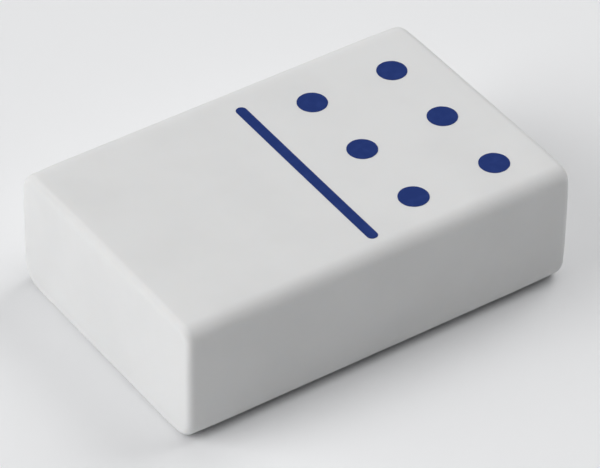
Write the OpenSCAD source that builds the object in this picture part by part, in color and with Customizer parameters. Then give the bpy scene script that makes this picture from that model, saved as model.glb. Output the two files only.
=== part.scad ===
// A small white school eraser, printed on its top face like one half of a domino.
// The block is a soft bar cut to length: its four long edges are well rounded, and the
// edges round its two ends are crisper. The blue print is a thin film of ink on the top face.
// X runs along the block, Z is up, and the origin is the middle of the underside.

/* [Block] */
// Length of the block, from end face to end face
block_l = 33; // [26:0.5:50]
// Width of the block, across both long sides
block_w = 22; // [17:0.5:34]
// Height of the block
block_h = 10.3; // [6:0.1:18]
// Radius of the four soft edges that run the length of the block
long_edge_r = 1.75; // [1:0.05:2.5]
// Radius of the crisper edges round each end face
end_edge_r = 0.65; // [0.2:0.05:0.9]

/* [Pips] */
// Diameter of a printed pip
pip_d = 2.3; // [1.4:0.05:2.8]
// From the end face and the long sides to the centres of the outer pips
pip_inset = 4.55; // [3.5:0.05:5.5]
// From the middle of the divider to the nearer column of pips
pip_from_divider = 4.9; // [3.6:0.1:6]

/* [Divider] */
// Width of the printed line that parts the two halves of the top face
divider_w = 0.85; // [0.4:0.05:1.6]
// From each long side to the nearer end of the divider
divider_inset = 2.2; // [1.5:0.05:4]

/* [Print] */
// Thickness of the ink film
ink_t = 0.02; // [0.01:0.01:0.05]
// How far the whole print sits off the middle, along the block
print_shift_x = 0.3; // [-0.6:0.05:0.6]
// How far the whole print sits off the middle, across the block
print_shift_y = -0.65; // [-0.8:0.05:0.8]
// Slight turn of the whole print, in degrees
print_turn = -0.7; // [-1:0.1:1]

/* [Hidden] */

$fn = 96;

rubber_white = [0.93, 0.93, 0.92];
ink_blue = [0.16, 0.24, 0.48];

// The flat parts of the top face and of the long sides, between the soft edges
flat_w = block_w - 2 * long_edge_r;
flat_h = block_h - 2 * long_edge_r;

// Where the pips and the divider sit on the print, before its shift and turn
pip_columns = [pip_from_divider, block_l / 2 - pip_inset];
pip_row_pitch = block_w / 2 - pip_inset;
divider_l = block_w - 2 * divider_inset;

// A strip as long as the block, whose two outer corners are rounded like the block's ends.
// Every slice from inside the block out to a face is this strip, at its own depth.
// A coat is added to the face and to both ends, and the rounding grows with it.
module end_rounded_strip(depth, coat) {
    half_l = block_l / 2 + coat;
    face = depth + coat;
    corner_r = end_edge_r + coat;
    translate([-half_l, 0]) square([2 * half_l, face - corner_r]);
    translate([corner_r - half_l, 0]) square([2 * (half_l - corner_r), face]);
    for (side = [-1, 1])
        translate([side * (half_l - corner_r), face - corner_r]) circle(corner_r);
}

// The middle of the block's height, where its sides are flat
module middle_slab(coat) {
    linear_extrude(flat_h, center = true)
        for (side = [0, 1])
            mirror([0, side]) end_rounded_strip(block_w / 2, coat);
}

// The slab under the flat of the top face, which the underside mirrors
module face_slab(coat) {
    translate([0, 0, flat_h / 2])
        rotate([90, 0, 0])
            linear_extrude(flat_w, center = true) end_rounded_strip(long_edge_r, coat);
}

// One soft long edge, as a quarter turn of the strip
module long_edge(coat) {
    translate([0, flat_w / 2, flat_h / 2])
        rotate([0, -90, 0])
            rotate_extrude(angle = 90) rotate(-90) end_rounded_strip(long_edge_r, coat);
}

// The whole block, or the block with an even coat all over it
module coated_block(coat = 0) {
    translate([0, 0, block_h / 2]) {
        middle_slab(coat);
        for (level = [0, 1])
            mirror([0, 0, level]) {
                face_slab(coat);
                for (side = [0, 1])
                    mirror([0, side, 0]) long_edge(coat);
            }
    }
}

// Ink on the upper surface, wherever its outline lies: on the flat and over the soft edges
module ink_film() {
    color(ink_blue)
        difference() {
            intersection() {
                coated_block(ink_t);
                translate([print_shift_x, print_shift_y, block_h / 2])
                    rotate(print_turn)
                        linear_extrude(block_h) children();
            }
            coated_block();
        }
}

module eraser_block() {
    color(rubber_white) coated_block();
}

module printed_pips() {
    ink_film()
        for (column = pip_columns)
            for (row = [-1, 0, 1])
                translate([column, row * pip_row_pitch]) circle(d = pip_d);
}

module printed_divider() {
    ink_film() {
        square([divider_w, divider_l - divider_w], center = true);
        for (side = [-1, 1])
            translate([0, side * (divider_l - divider_w) / 2]) circle(d = divider_w);
    }
}

eraser_block();
printed_pips();
printed_divider();
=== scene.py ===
"""A white rubber eraser, printed on its top face like one half of a domino.

Everything is in metres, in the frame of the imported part: X runs along the block, Z is up and the
origin is the middle of the underside. The block and its print are modelled here with their true
soft edges and finishes, and stand for the plain solids of the part.
"""

import logging
import math
from dataclasses import dataclass, field
from enum import Enum
from typing import Any, Iterable, Sequence

import bmesh
import bpy
from mathutils import Matrix, Vector, noise
from mathutils.bvhtree import BVHTree


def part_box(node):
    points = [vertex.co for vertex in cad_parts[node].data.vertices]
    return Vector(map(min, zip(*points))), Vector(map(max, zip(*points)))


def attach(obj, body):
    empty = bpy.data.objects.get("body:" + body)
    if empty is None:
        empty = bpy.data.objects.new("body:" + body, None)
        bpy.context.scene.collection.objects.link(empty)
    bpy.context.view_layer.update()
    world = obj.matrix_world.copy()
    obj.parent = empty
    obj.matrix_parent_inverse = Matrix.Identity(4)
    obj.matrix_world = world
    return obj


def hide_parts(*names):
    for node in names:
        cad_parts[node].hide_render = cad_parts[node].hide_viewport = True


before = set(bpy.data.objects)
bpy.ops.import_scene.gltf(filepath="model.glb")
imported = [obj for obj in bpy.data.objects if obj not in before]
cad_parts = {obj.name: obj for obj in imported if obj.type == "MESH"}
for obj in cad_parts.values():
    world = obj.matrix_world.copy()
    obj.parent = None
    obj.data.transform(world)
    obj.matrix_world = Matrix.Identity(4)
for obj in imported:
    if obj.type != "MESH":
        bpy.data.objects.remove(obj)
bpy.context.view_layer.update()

LOG = logging.getLogger("eraser")
MM = 0.001
BODY = "root"
# Edges that turn by more than this stay crisp
SHARP_FROM = math.radians(40)
# Points closer than this, in metres, count as one
SAME_SPOT = 1e-7
# How nearly a normal lies along X for its face to be an end face
END_FACING = 0.99
# Surface that faces down by more than this lies on the table and keeps its place
UNDERSIDE_FACING = -0.5
# The colour sockets of a Mix node: the amount, the two colours, and the mixed one
MIX_AMOUNT, MIX_FIRST, MIX_SECOND, MIX_RESULT = 0, 6, 7, 2

Colour = tuple[float, float, float]


class Node(Enum):
    """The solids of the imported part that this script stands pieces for."""

    BLOCK = "eraser_block"
    PIPS = "printed_pips"
    DIVIDER = "printed_divider"


class Slot(Enum):
    """The material slots of the part's record."""

    RUBBER = "white_rubber"
    INK = "blue_ink"


# ---------------------------------------------------------------------------------------------
# Shader maths
# ---------------------------------------------------------------------------------------------


class Field:
    """A number that varies over a surface: a node socket on which arithmetic adds Math nodes."""

    def __init__(self, tree: "Tree", socket: bpy.types.NodeSocket) -> None:
        """Wraps one output socket.

        Args:
            tree: The tree that the socket's node is in.
            socket: The output socket.
        """
        self.tree = tree
        self.socket = socket

    def _with(self, operation: str, first: Any, second: Any) -> "Field":
        """A Math node of two values, either of which may be a plain number."""
        maths = self.tree.add("ShaderNodeMath", {"operation": operation}, {0: first, 1: second})
        return Field(self.tree, maths.outputs[0])

    def __add__(self, other: Any) -> "Field":
        """self + other."""
        return self._with("ADD", self, other)

    def __radd__(self, other: Any) -> "Field":
        """other + self."""
        return self._with("ADD", other, self)

    def __mul__(self, other: Any) -> "Field":
        """self * other."""
        return self._with("MULTIPLY", self, other)

    def __rmul__(self, other: Any) -> "Field":
        """other * self."""
        return self._with("MULTIPLY", other, self)

    def eased(self, low: float, high: float) -> "Field":
        """A smooth step from 0 where this is low to 1 where it is high.

        Args:
            low: The value that gives 0.
            high: The value that gives 1.

        Returns:
            The stepped field, which stays between 0 and 1.
        """
        step = self.tree.add(
            "ShaderNodeMapRange",
            {"interpolation_type": "SMOOTHSTEP"},
            {"Value": self, "From Min": low, "From Max": high},
        )
        return Field(self.tree, step.outputs["Result"])


class Tree:
    """The node tree of one new material, with a Principled shader at its end."""

    def __init__(self, name: str) -> None:
        """Starts the material.

        Args:
            name: The material's name.
        """
        self.material = bpy.data.materials.new(name)
        self.material.use_nodes = True
        self.nodes = self.material.node_tree.nodes
        self.links = self.material.node_tree.links
        self.shader = self.nodes["Principled BSDF"]

    def add(self, kind: str, settings: dict[str, Any], inputs: dict[Any, Any]) -> bpy.types.Node:
        """Adds a node of any kind.

        Args:
            kind: The node's type, such as ShaderNodeMath.
            settings: Its properties, which are set before its sockets are.
            inputs: Its sockets' values, fields or output sockets, by name or number.

        Returns:
            The new node.
        """
        node = self.nodes.new(kind)
        for key, value in settings.items():
            setattr(node, key, value)
        self.feed(node, inputs)
        return node

    def feed(self, node: bpy.types.Node, inputs: dict[Any, Any]) -> None:
        """Sets or links the sockets of a node.

        Args:
            node: The node to feed.
            inputs: Values, fields or output sockets, by the socket's name or number.
        """
        for key, value in inputs.items():
            if isinstance(value, Field):
                self.links.new(value.socket, node.inputs[key])
            elif isinstance(value, bpy.types.NodeSocket):
                self.links.new(value, node.inputs[key])
            else:
                node.inputs[key].default_value = value

    def place(self) -> bpy.types.NodeSocket:
        """The point on the piece, in its own metres."""
        return self.add("ShaderNodeTexCoord", {}, {}).outputs["Object"]

    def noise(self, size: float, detail: float = 2.0, roughness: float = 0.5) -> Field:
        """Soft noise from 0 to 1, even in all directions.

        Args:
            size: The width of its largest blotches, in metres.
            detail: How many finer layers it holds.
            roughness: How strong the finer layers are.

        Returns:
            The noise as a field.
        """
        grain = self.add(
            "ShaderNodeTexNoise",
            {"noise_dimensions": "3D"},
            {"Vector": self.place(), "Scale": 1 / size, "Detail": detail, "Roughness": roughness},
        )
        return Field(self, grain.outputs["Fac"])

    def blend(self, amount: Any, first: Colour, second: Colour) -> bpy.types.NodeSocket:
        """A colour between two others.

        Args:
            amount: 0 for the first colour and 1 for the second, as a field or a number.
            first: The first colour, in linear light.
            second: The second colour, in linear light.

        Returns:
            The mixed colour's socket.
        """
        inputs = {MIX_AMOUNT: amount, MIX_FIRST: (*first, 1), MIX_SECOND: (*second, 1)}
        return self.add("ShaderNodeMix", {"data_type": "RGBA"}, inputs).outputs[MIX_RESULT]

    def bump(self, height: Field, depth: float) -> bpy.types.NodeSocket:
        """Surface relief from a height field.

        Args:
            height: The relief, from 0 to 1.
            depth: How deep a relief of 1 is, in metres.

        Returns:
            The normal's socket.
        """
        inputs = {"Height": height, "Distance": depth, "Strength": 1.0}
        return self.add("ShaderNodeBump", {}, inputs).outputs["Normal"]


# ---------------------------------------------------------------------------------------------
# Finishes
# ---------------------------------------------------------------------------------------------


@dataclass(frozen=True)
class RubberFinish:
    """Soft white vinyl rubber: matt, a little translucent, with faint clouds and a fine grain."""

    name: str = "white_rubber"
    colour: Colour = (0.785, 0.788, 0.787)
    clouded: Colour = (0.760, 0.763, 0.762)
    cloud_size: float = 6.0 * MM
    cloud_detail: float = 3.0
    cloud_from: float = 0.35
    cloud_to: float = 0.70
    roughness: float = 0.78
    roughness_spread: float = 0.10
    grain_size: float = 0.22 * MM
    grain_detail: float = 3.0
    grain_harshness: float = 0.6
    grain_depth: float = 0.006 * MM
    translucency: float = 0.25
    scatter_depth: float = 0.5 * MM
    scatter_tint: Colour = (1.0, 0.9, 0.8)
    refraction: float = 1.5

    def material(self) -> bpy.types.Material:
        """Builds the material.

        Returns:
            The finished material.
        """
        tree = Tree(self.name)
        clouds = tree.noise(self.cloud_size, self.cloud_detail)
        mottle = clouds.eased(self.cloud_from, self.cloud_to)
        grain = tree.noise(self.grain_size, self.grain_detail, self.grain_harshness)
        smoothest = self.roughness - self.roughness_spread / 2
        tree.feed(
            tree.shader,
            {
                "Base Color": tree.blend(mottle, self.colour, self.clouded),
                "Roughness": grain * self.roughness_spread + smoothest,
                "Normal": tree.bump(grain, self.grain_depth),
                "Subsurface Weight": self.translucency,
                "Subsurface Radius": self.scatter_tint,
                "Subsurface Scale": self.scatter_depth,
                "IOR": self.refraction,
            },
        )
        return tree.material


@dataclass(frozen=True)
class InkFinish:
    """Matt blue printing ink, a little thinner in places."""

    name: str = "blue_ink"
    colour: Colour = (0.006, 0.028, 0.170)
    thin_colour: Colour = (0.011, 0.036, 0.192)
    patch_size: float = 0.8 * MM
    patch_detail: float = 3.0
    patch_from: float = 0.40
    patch_to: float = 0.75
    roughness: float = 0.55
    roughness_spread: float = 0.08
    sheen: float = 0.3
    grain_size: float = 0.20 * MM
    grain_depth: float = 0.004 * MM
    refraction: float = 1.45

    def material(self) -> bpy.types.Material:
        """Builds the material.

        Returns:
            The finished material.
        """
        tree = Tree(self.name)
        patches = tree.noise(self.patch_size, self.patch_detail)
        thinned = patches.eased(self.patch_from, self.patch_to)
        grain = tree.noise(self.grain_size)
        tree.feed(
            tree.shader,
            {
                "Base Color": tree.blend(thinned, self.colour, self.thin_colour),
                "Roughness": grain * self.roughness_spread + self.roughness,
                "Normal": tree.bump(grain, self.grain_depth),
                "IOR": self.refraction,
                "Specular IOR Level": self.sheen,
            },
        )
        return tree.material


@dataclass(frozen=True)
class FloorFinish:
    """A plain pale tabletop."""

    name: str = "pale_floor"
    colour: Colour = (0.900, 0.905, 0.915)
    worn: Colour = (0.890, 0.895, 0.905)
    patch_size: float = 60.0 * MM
    roughness: float = 0.85
    sheen: float = 0.2

    def material(self) -> bpy.types.Material:
        """Builds the material.

        Returns:
            The finished material.
        """
        tree = Tree(self.name)
        patches = tree.noise(self.patch_size)
        tree.feed(
            tree.shader,
            {
                "Base Color": tree.blend(patches, self.colour, self.worn),
                "Roughness": self.roughness,
                "Specular IOR Level": self.sheen,
            },
        )
        return tree.material


# ---------------------------------------------------------------------------------------------
# Meshes
# ---------------------------------------------------------------------------------------------


class Piece:
    """What every modelled piece shares: turning a bmesh into an object that rides on the part."""

    @staticmethod
    def finished(
        shape: bmesh.types.BMesh,
        name: str,
        material: bpy.types.Material,
        slot: Slot,
        stands_for: Node,
    ) -> bpy.types.Object:
        """Makes the object, dresses it, and ties it to the part.

        Args:
            shape: The finished shape, which is freed.
            name: The piece's name.
            material: Its finish.
            slot: The record's slot that the finish comes from; it is not used.
            stands_for: The plain solid that it replaces.

        Returns:
            The new object, at the origin and unturned.
        """
        bmesh.ops.recalc_face_normals(shape, faces=shape.faces)
        mesh = bpy.data.meshes.new(name)
        shape.to_mesh(mesh)
        shape.free()
        mesh.shade_smooth()
        mesh.set_sharp_from_angle(angle=SHARP_FROM)
        mesh.materials.append(material)
        piece = bpy.data.objects.new(name, mesh)
        bpy.context.scene.collection.objects.link(piece)
        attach(piece, BODY)
        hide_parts(stands_for.value)
        LOG.info("%s: %d faces, stands for %s", name, len(mesh.polygons), stands_for.value)
        return piece


def middle_of(low: Sequence[float], high: Sequence[float]) -> Vector:
    """The middle of a box given by its lowest and highest corners."""
    return (Vector(low) + Vector(high)) / 2


def cut_across(shape: bmesh.types.BMesh, axis: int, places: Iterable[float]) -> None:
    """Cuts new edges right round a shape, where flat planes cross it.

    Args:
        shape: The shape to cut.
        axis: 0, 1 or 2 for planes that face along X, Y or Z.
        places: Where the planes stand along that axis, in metres.
    """
    facing = Vector((0, 0, 0))
    facing[axis] = 1
    for place in places:
        everything = [*shape.verts, *shape.edges, *shape.faces]
        bmesh.ops.bisect_plane(
            shape, geom=everything, plane_co=facing * place, plane_no=facing, dist=SAME_SPOT
        )


def spread_between(low: float, high: float, pitch: float) -> list[float]:
    """Even places strictly between two ends, about one pitch apart.

    Args:
        low: The lower end.
        high: The higher end.
        pitch: The distance wanted between places.

    Returns:
        The places, lowest first.
    """
    steps = max(1, round((high - low) / pitch))
    return [low + (high - low) * i / steps for i in range(1, steps)]


@dataclass
class EraserBlock:
    """The block: a soft bar, cut to length, with well rounded long edges and crisper ends."""

    low: Vector
    high: Vector
    long_edge_r: float = 1.75 * MM
    front_edge_r: float = 1.3 * MM
    left_end_r: float = 0.60 * MM
    right_end_r: float = 0.70 * MM
    long_edge_steps: int = 16
    end_edge_steps: int = 8
    grid: float = 1.0 * MM
    sag: float = 0.03 * MM
    wander: float = 0.02 * MM
    wander_size: float = 9.0 * MM
    corner_wear: float = 0.07 * MM
    corner_reach: float = 3.5 * MM
    finish: RubberFinish = field(default_factory=RubberFinish)

    def bar(self) -> bmesh.types.BMesh:
        """Shapes the plain bar with its soft long edges and crisper end edges.

        Returns:
            The bar as a closed shape.
        """
        shape = bmesh.new()
        stretch = Matrix.Diagonal((*(self.high - self.low), 1))
        fit = Matrix.Translation(middle_of(self.low, self.high)) @ stretch
        bmesh.ops.create_cube(shape, size=1.0, matrix=fit)
        along = sorted((e for e in shape.edges if self.runs_along(e)), key=self.front_top_first)
        self.round_edges(shape, along[1:], self.long_edge_r, self.long_edge_steps)
        front = min((e for e in shape.edges if self.runs_along(e)), key=self.front_top_first)
        self.round_edges(shape, [front], self.front_edge_r, self.long_edge_steps)
        for side, radius in ((-1, self.left_end_r), (1, self.right_end_r)):
            end_faces = [f for f in shape.faces if f.normal.x * side > END_FACING]
            # Each edge once, in a fixed order
            rim = list(dict.fromkeys(e for f in end_faces for e in f.edges))
            self.round_edges(shape, rim, radius, self.end_edge_steps)
        return shape

    def runs_along(self, edge: bmesh.types.BMEdge) -> bool:
        """Whether an edge runs the length of the block."""
        return abs(edge.verts[0].co.x - edge.verts[1].co.x) > self.long_edge_r

    @staticmethod
    def front_top_first(edge: bmesh.types.BMEdge) -> float:
        """A figure that is least for the edge between the top face and the front side."""
        return max(v.co.y - v.co.z for v in edge.verts)

    @staticmethod
    def round_edges(
        shape: bmesh.types.BMesh, edges: list[bmesh.types.BMEdge], radius: float, steps: int
    ) -> None:
        """Rounds some edges of a shape.

        Args:
            shape: The shape.
            edges: Its edges to round.
            radius: The radius of the rounding, in metres.
            steps: The number of flats that stand for the round.
        """
        bmesh.ops.bevel(
            shape,
            geom=edges,
            offset=radius,
            offset_type="OFFSET",
            segments=steps,
            profile=0.5,
            affect="EDGES",
            material=-1,
            clamp_overlap=True,
        )
        shape.normal_update()

    def soften(self, shape: bmesh.types.BMesh) -> None:
        """Lets the faces sag and wander a little inwards, and wears the corners.

        Args:
            shape: The bar, already cut into small faces.
        """
        middle = middle_of(self.low, self.high)
        half = (self.high - self.low) / 2
        shape.normal_update()
        moves = []
        for vert in shape.verts:
            at = Vector((vert.co - middle)[i] / half[i] for i in range(3))
            facing = max(range(3), key=lambda i: abs(at[i]))
            across = [abs(at[i]) for i in range(3) if i != facing]
            dish = (1 - across[0] ** 2) * (1 - across[1] ** 2)
            drift = 0.5 + 0.5 * noise.noise(vert.co / self.wander_size)
            free = vert.normal.z > UNDERSIDE_FACING
            sunk = (self.sag + self.wander * drift) * dish if free else 0.0
            corner = middle + Vector(math.copysign(half[i], at[i]) for i in range(3))
            moves.append(-vert.normal * (sunk + self.worn_away(vert.co, corner)))
        for vert, move in zip(shape.verts, moves, strict=True):
            vert.co += move

    def worn_away(self, spot: Vector, corner: Vector) -> float:
        """How much rubber is worn off near a corner.

        Args:
            spot: A place on the surface.
            corner: The nearest corner of the box round the block.

        Returns:
            The depth worn away at that place, in metres.
        """
        near = max(0.0, 1 - (spot - corner).length / self.corner_reach)
        return self.corner_wear * near * near * (3 - 2 * near)

    def build(self) -> bpy.types.Object:
        """Builds the block.

        Returns:
            The block's object.
        """
        shape = self.bar()
        left, right, edge = self.left_end_r, self.right_end_r, self.long_edge_r
        cut_across(shape, 0, spread_between(self.low.x + left, self.high.x - right, self.grid))
        cut_across(shape, 1, spread_between(self.low.y + edge, self.high.y - edge, self.grid))
        cut_across(shape, 2, spread_between(self.low.z + edge, self.high.z - edge, self.grid))
        self.soften(shape)
        rubber = self.finish.material()
        return Piece.finished(shape, "eraser_rubber", rubber, Slot.RUBBER, Node.BLOCK)


@dataclass
class InkFilm:
    """Films of ink that lie on the rubber and follow its surface."""

    surface: BVHTree
    above: float
    thickness: float
    buried: float = 0.01 * MM
    grid: float = 0.4 * MM
    ragged: float = 0.012 * MM
    ragged_size: float = 0.25 * MM
    outline_steps: int = 96

    def mark(self, middle: Vector, width: float, length: float, turn: float) -> bmesh.types.BMesh:
        """One mark with round ends: a round pip where its length is its width.

        Args:
            middle: The middle of the mark, whose height is left aside.
            width: Its width, in metres.
            length: Its length, end to end, in metres.
            turn: Its turn about Z, in radians. At 0 its length runs along Y.

        Returns:
            The mark as a closed film on the surface.
        """
        shape = bmesh.new()
        # Half a step round, so that no point lies on the line where the two halves draw apart
        half_step = Matrix.Rotation(math.pi / self.outline_steps, 4, "Z")
        bmesh.ops.create_circle(
            shape, cap_ends=True, segments=self.outline_steps, radius=width / 2, matrix=half_step
        )
        stretch = (length - width) / 2
        for vert in shape.verts:
            vert.co.y += math.copysign(stretch, vert.co.y)
            drift = noise.noise(vert.co / self.ragged_size + middle / MM)
            vert.co += vert.co.normalized() * self.ragged * drift
        cut_across(shape, 1, spread_between(-length / 2, length / 2, self.grid))
        cut_across(shape, 0, spread_between(-width / 2, width / 2, self.grid))
        shape.transform(Matrix.Translation((middle.x, middle.y, 0)) @ Matrix.Rotation(turn, 4, "Z"))
        self.lay(shape)
        return shape

    def lay(self, shape: bmesh.types.BMesh) -> None:
        """Lays a flat outline on the rubber and gives it its thickness.

        Args:
            shape: The outline, cut into small faces, at any height.
        """
        for vert in shape.verts:
            start = Vector((vert.co.x, vert.co.y, self.above))
            spot, facing, _, _ = self.surface.ray_cast(start, Vector((0, 0, -1)))
            vert.co = spot + facing * self.thickness
        bmesh.ops.recalc_face_normals(shape, faces=shape.faces)
        shape.normal_update()
        if sum(f.normal.z for f in shape.faces) < 0:
            bmesh.ops.reverse_faces(shape, faces=shape.faces)
        bmesh.ops.solidify(shape, geom=shape.faces[:], thickness=self.thickness + self.buried)


@dataclass
class Print:
    """The blue print: six pips on one half of the top face, and the line between the halves."""

    block: bpy.types.Object
    divider_low: Vector
    divider_high: Vector
    pips_low: Vector
    pips_high: Vector
    turn: float = math.radians(-0.7)
    divider_width: float = 0.85 * MM
    pip_width: float = 2.3 * MM
    rows: int = 3
    columns: int = 2
    finish: InkFinish = field(default_factory=InkFinish)

    def film(self) -> InkFilm:
        """Readies the film that lays each mark on the block.

        Returns:
            The film, as thick as the part's own.
        """
        surface = BVHTree.FromObject(self.block, bpy.context.evaluated_depsgraph_get())
        thickness = self.pips_high.z - self.pips_low.z
        return InkFilm(surface=surface, above=self.pips_high.z + 1 * MM, thickness=thickness)

    def unturned(self, box: Vector) -> Vector:
        """Undoes what the print's turn does to the box round a rectangle.

        Args:
            box: The sides of the upright box round the turned rectangle.

        Returns:
            The sides of the rectangle itself.
        """
        c, s = abs(math.cos(self.turn)), abs(math.sin(self.turn))
        det = c * c - s * s
        return Vector(((box.x * c - box.y * s) / det, (box.y * c - box.x * s) / det, box.z))

    def divider(self, film: InkFilm) -> bpy.types.Object:
        """Prints the line between the halves.

        Args:
            film: The ink film to print with.

        Returns:
            The line's object.
        """
        reach = self.divider_high.y - self.divider_low.y
        straight = (reach - self.divider_width) / math.cos(self.turn)
        middle = middle_of(self.divider_low, self.divider_high)
        shape = film.mark(middle, self.divider_width, straight + self.divider_width, self.turn)
        return Piece.finished(shape, "divider_ink", self.finish.material(), Slot.INK, Node.DIVIDER)

    def pips(self, film: InkFilm, material: bpy.types.Material) -> bpy.types.Object:
        """Prints the pips.

        Args:
            film: The ink film to print with.
            material: The ink, shared with the divider.

        Returns:
            The pips' object.
        """
        middle = middle_of(self.pips_low, self.pips_high)
        spread = self.pips_high - self.pips_low - Vector((self.pip_width, self.pip_width, 0))
        reach = self.unturned(spread)
        turned = Matrix.Rotation(self.turn, 3, "Z")
        shape = bmesh.new()
        for column in range(self.columns):
            for row in range(self.rows):
                share = Vector((column / (self.columns - 1) - 0.5, row / (self.rows - 1) - 0.5, 0))
                offset = turned @ Vector((share.x * reach.x, share.y * reach.y, 0))
                pip = film.mark(middle + offset, self.pip_width, self.pip_width, self.turn)
                loose = bpy.data.meshes.new("pip")
                pip.to_mesh(loose)
                pip.free()
                shape.from_mesh(loose)
                bpy.data.meshes.remove(loose)
        return Piece.finished(shape, "pips_ink", material, Slot.INK, Node.PIPS)


# ---------------------------------------------------------------------------------------------
# Studio
# ---------------------------------------------------------------------------------------------


@dataclass(frozen=True)
class Lamp:
    """A soft, even light from one side of the room."""

    name: str
    bearing: float
    height: float
    strength: float
    softness: float

    def build(self) -> None:
        """Hangs the lamp, aimed at the middle of the floor."""
        light = bpy.data.lights.new(self.name, "SUN")
        light.energy = self.strength * math.pi
        light.angle = math.radians(self.softness)
        lamp = bpy.data.objects.new(self.name, light)
        turn = Matrix.Rotation(math.radians(self.bearing), 4, "Z")
        tilt = Matrix.Rotation(math.radians(90 - self.height), 4, "X")
        lamp.matrix_world = turn @ tilt @ Matrix.Translation((0, 0, 1))
        bpy.context.scene.collection.objects.link(lamp)
        LOG.info("lamp %s", self.name)


@dataclass
class Studio:
    """The pale floor, the soft lights and the camera."""

    lamps: tuple[Lamp, ...] = (
        Lamp("overhead", bearing=0, height=88, strength=0.320, softness=80),
        Lamp("window_left", bearing=-110, height=27, strength=0.620, softness=50),
        Lamp("high_right", bearing=93, height=50, strength=0.310, softness=40),
        Lamp("back_right", bearing=145, height=45, strength=0.030, softness=50),
    )
    floor_reach: float = 3.0
    floor_squares: int = 8
    floor: FloorFinish = field(default_factory=FloorFinish)
    camera_bearing: float = -35.25
    camera_height: float = 39.63
    camera_distance: float = 321.1 * MM
    camera_aim: Vector = field(default_factory=lambda: Vector((-0.394, -1.093, 5.15)) * MM)
    camera_roll: float = 1.21
    lens: float = 267.4
    sensor: float = 36.0
    nearest: float = 0.01
    farthest: float = 20.0

    def lay_floor(self) -> None:
        """Lays the floor just under the object."""
        shape = bmesh.new()
        squares = self.floor_squares
        bmesh.ops.create_grid(shape, x_segments=squares, y_segments=squares, size=self.floor_reach)
        mesh = bpy.data.meshes.new("floor")
        shape.to_mesh(mesh)
        shape.free()
        mesh.materials.append(self.floor.material())
        floor = bpy.data.objects.new("floor", mesh)
        bpy.context.scene.collection.objects.link(floor)

    def light_room(self) -> None:
        """Takes away the room's own light and hangs the lamps."""
        world = bpy.data.worlds.new("room")
        world.use_nodes = True
        world.node_tree.nodes["Background"].inputs["Strength"].default_value = 0
        bpy.context.scene.world = world
        for lamp in self.lamps:
            lamp.build()

    def set_camera(self) -> None:
        """Sets the camera by its bearing and height round the aim, then rolls it."""
        bearing = math.radians(self.camera_bearing)
        height = math.radians(self.camera_height)
        roll = math.radians(self.camera_roll)
        level = math.cos(height)
        out = Vector((math.sin(bearing) * level, -math.cos(bearing) * level, math.sin(height)))
        across = Vector((0, 0, 1)).cross(out).normalized()
        rise = out.cross(across)
        right = across * math.cos(roll) + rise * math.sin(roll)
        up = rise * math.cos(roll) - across * math.sin(roll)
        lens = bpy.data.cameras.new("camera")
        lens.lens = self.lens
        lens.sensor_width = self.sensor
        lens.clip_start = self.nearest
        lens.clip_end = self.farthest
        camera = bpy.data.objects.new("camera", lens)
        turned = Matrix((right, up, out)).transposed().to_4x4()
        stand = Matrix.Translation(self.camera_aim + out * self.camera_distance)
        camera.matrix_world = stand @ turned
        bpy.context.scene.collection.objects.link(camera)
        bpy.context.scene.camera = camera

    def build(self) -> None:
        """Builds the studio."""
        self.lay_floor()
        self.light_room()
        self.set_camera()
        bpy.context.scene.view_settings.view_transform = "Standard"


def node_box(node: Node) -> tuple[Vector, Vector]:
    """The lowest and highest corners of one of the part's solids."""
    low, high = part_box(node.value)
    return Vector(low), Vector(high)


def main() -> None:
    """Builds the eraser and its studio."""
    logging.basicConfig(level=logging.INFO, format="%(name)s: %(message)s")
    Studio().build()
    block = EraserBlock(*node_box(Node.BLOCK)).build()
    marks = Print(block, *node_box(Node.DIVIDER), *node_box(Node.PIPS))
    film = marks.film()
    divider = marks.divider(film)
    marks.pips(film, divider.data.materials[0])


if __name__ == "__main__":
    main()
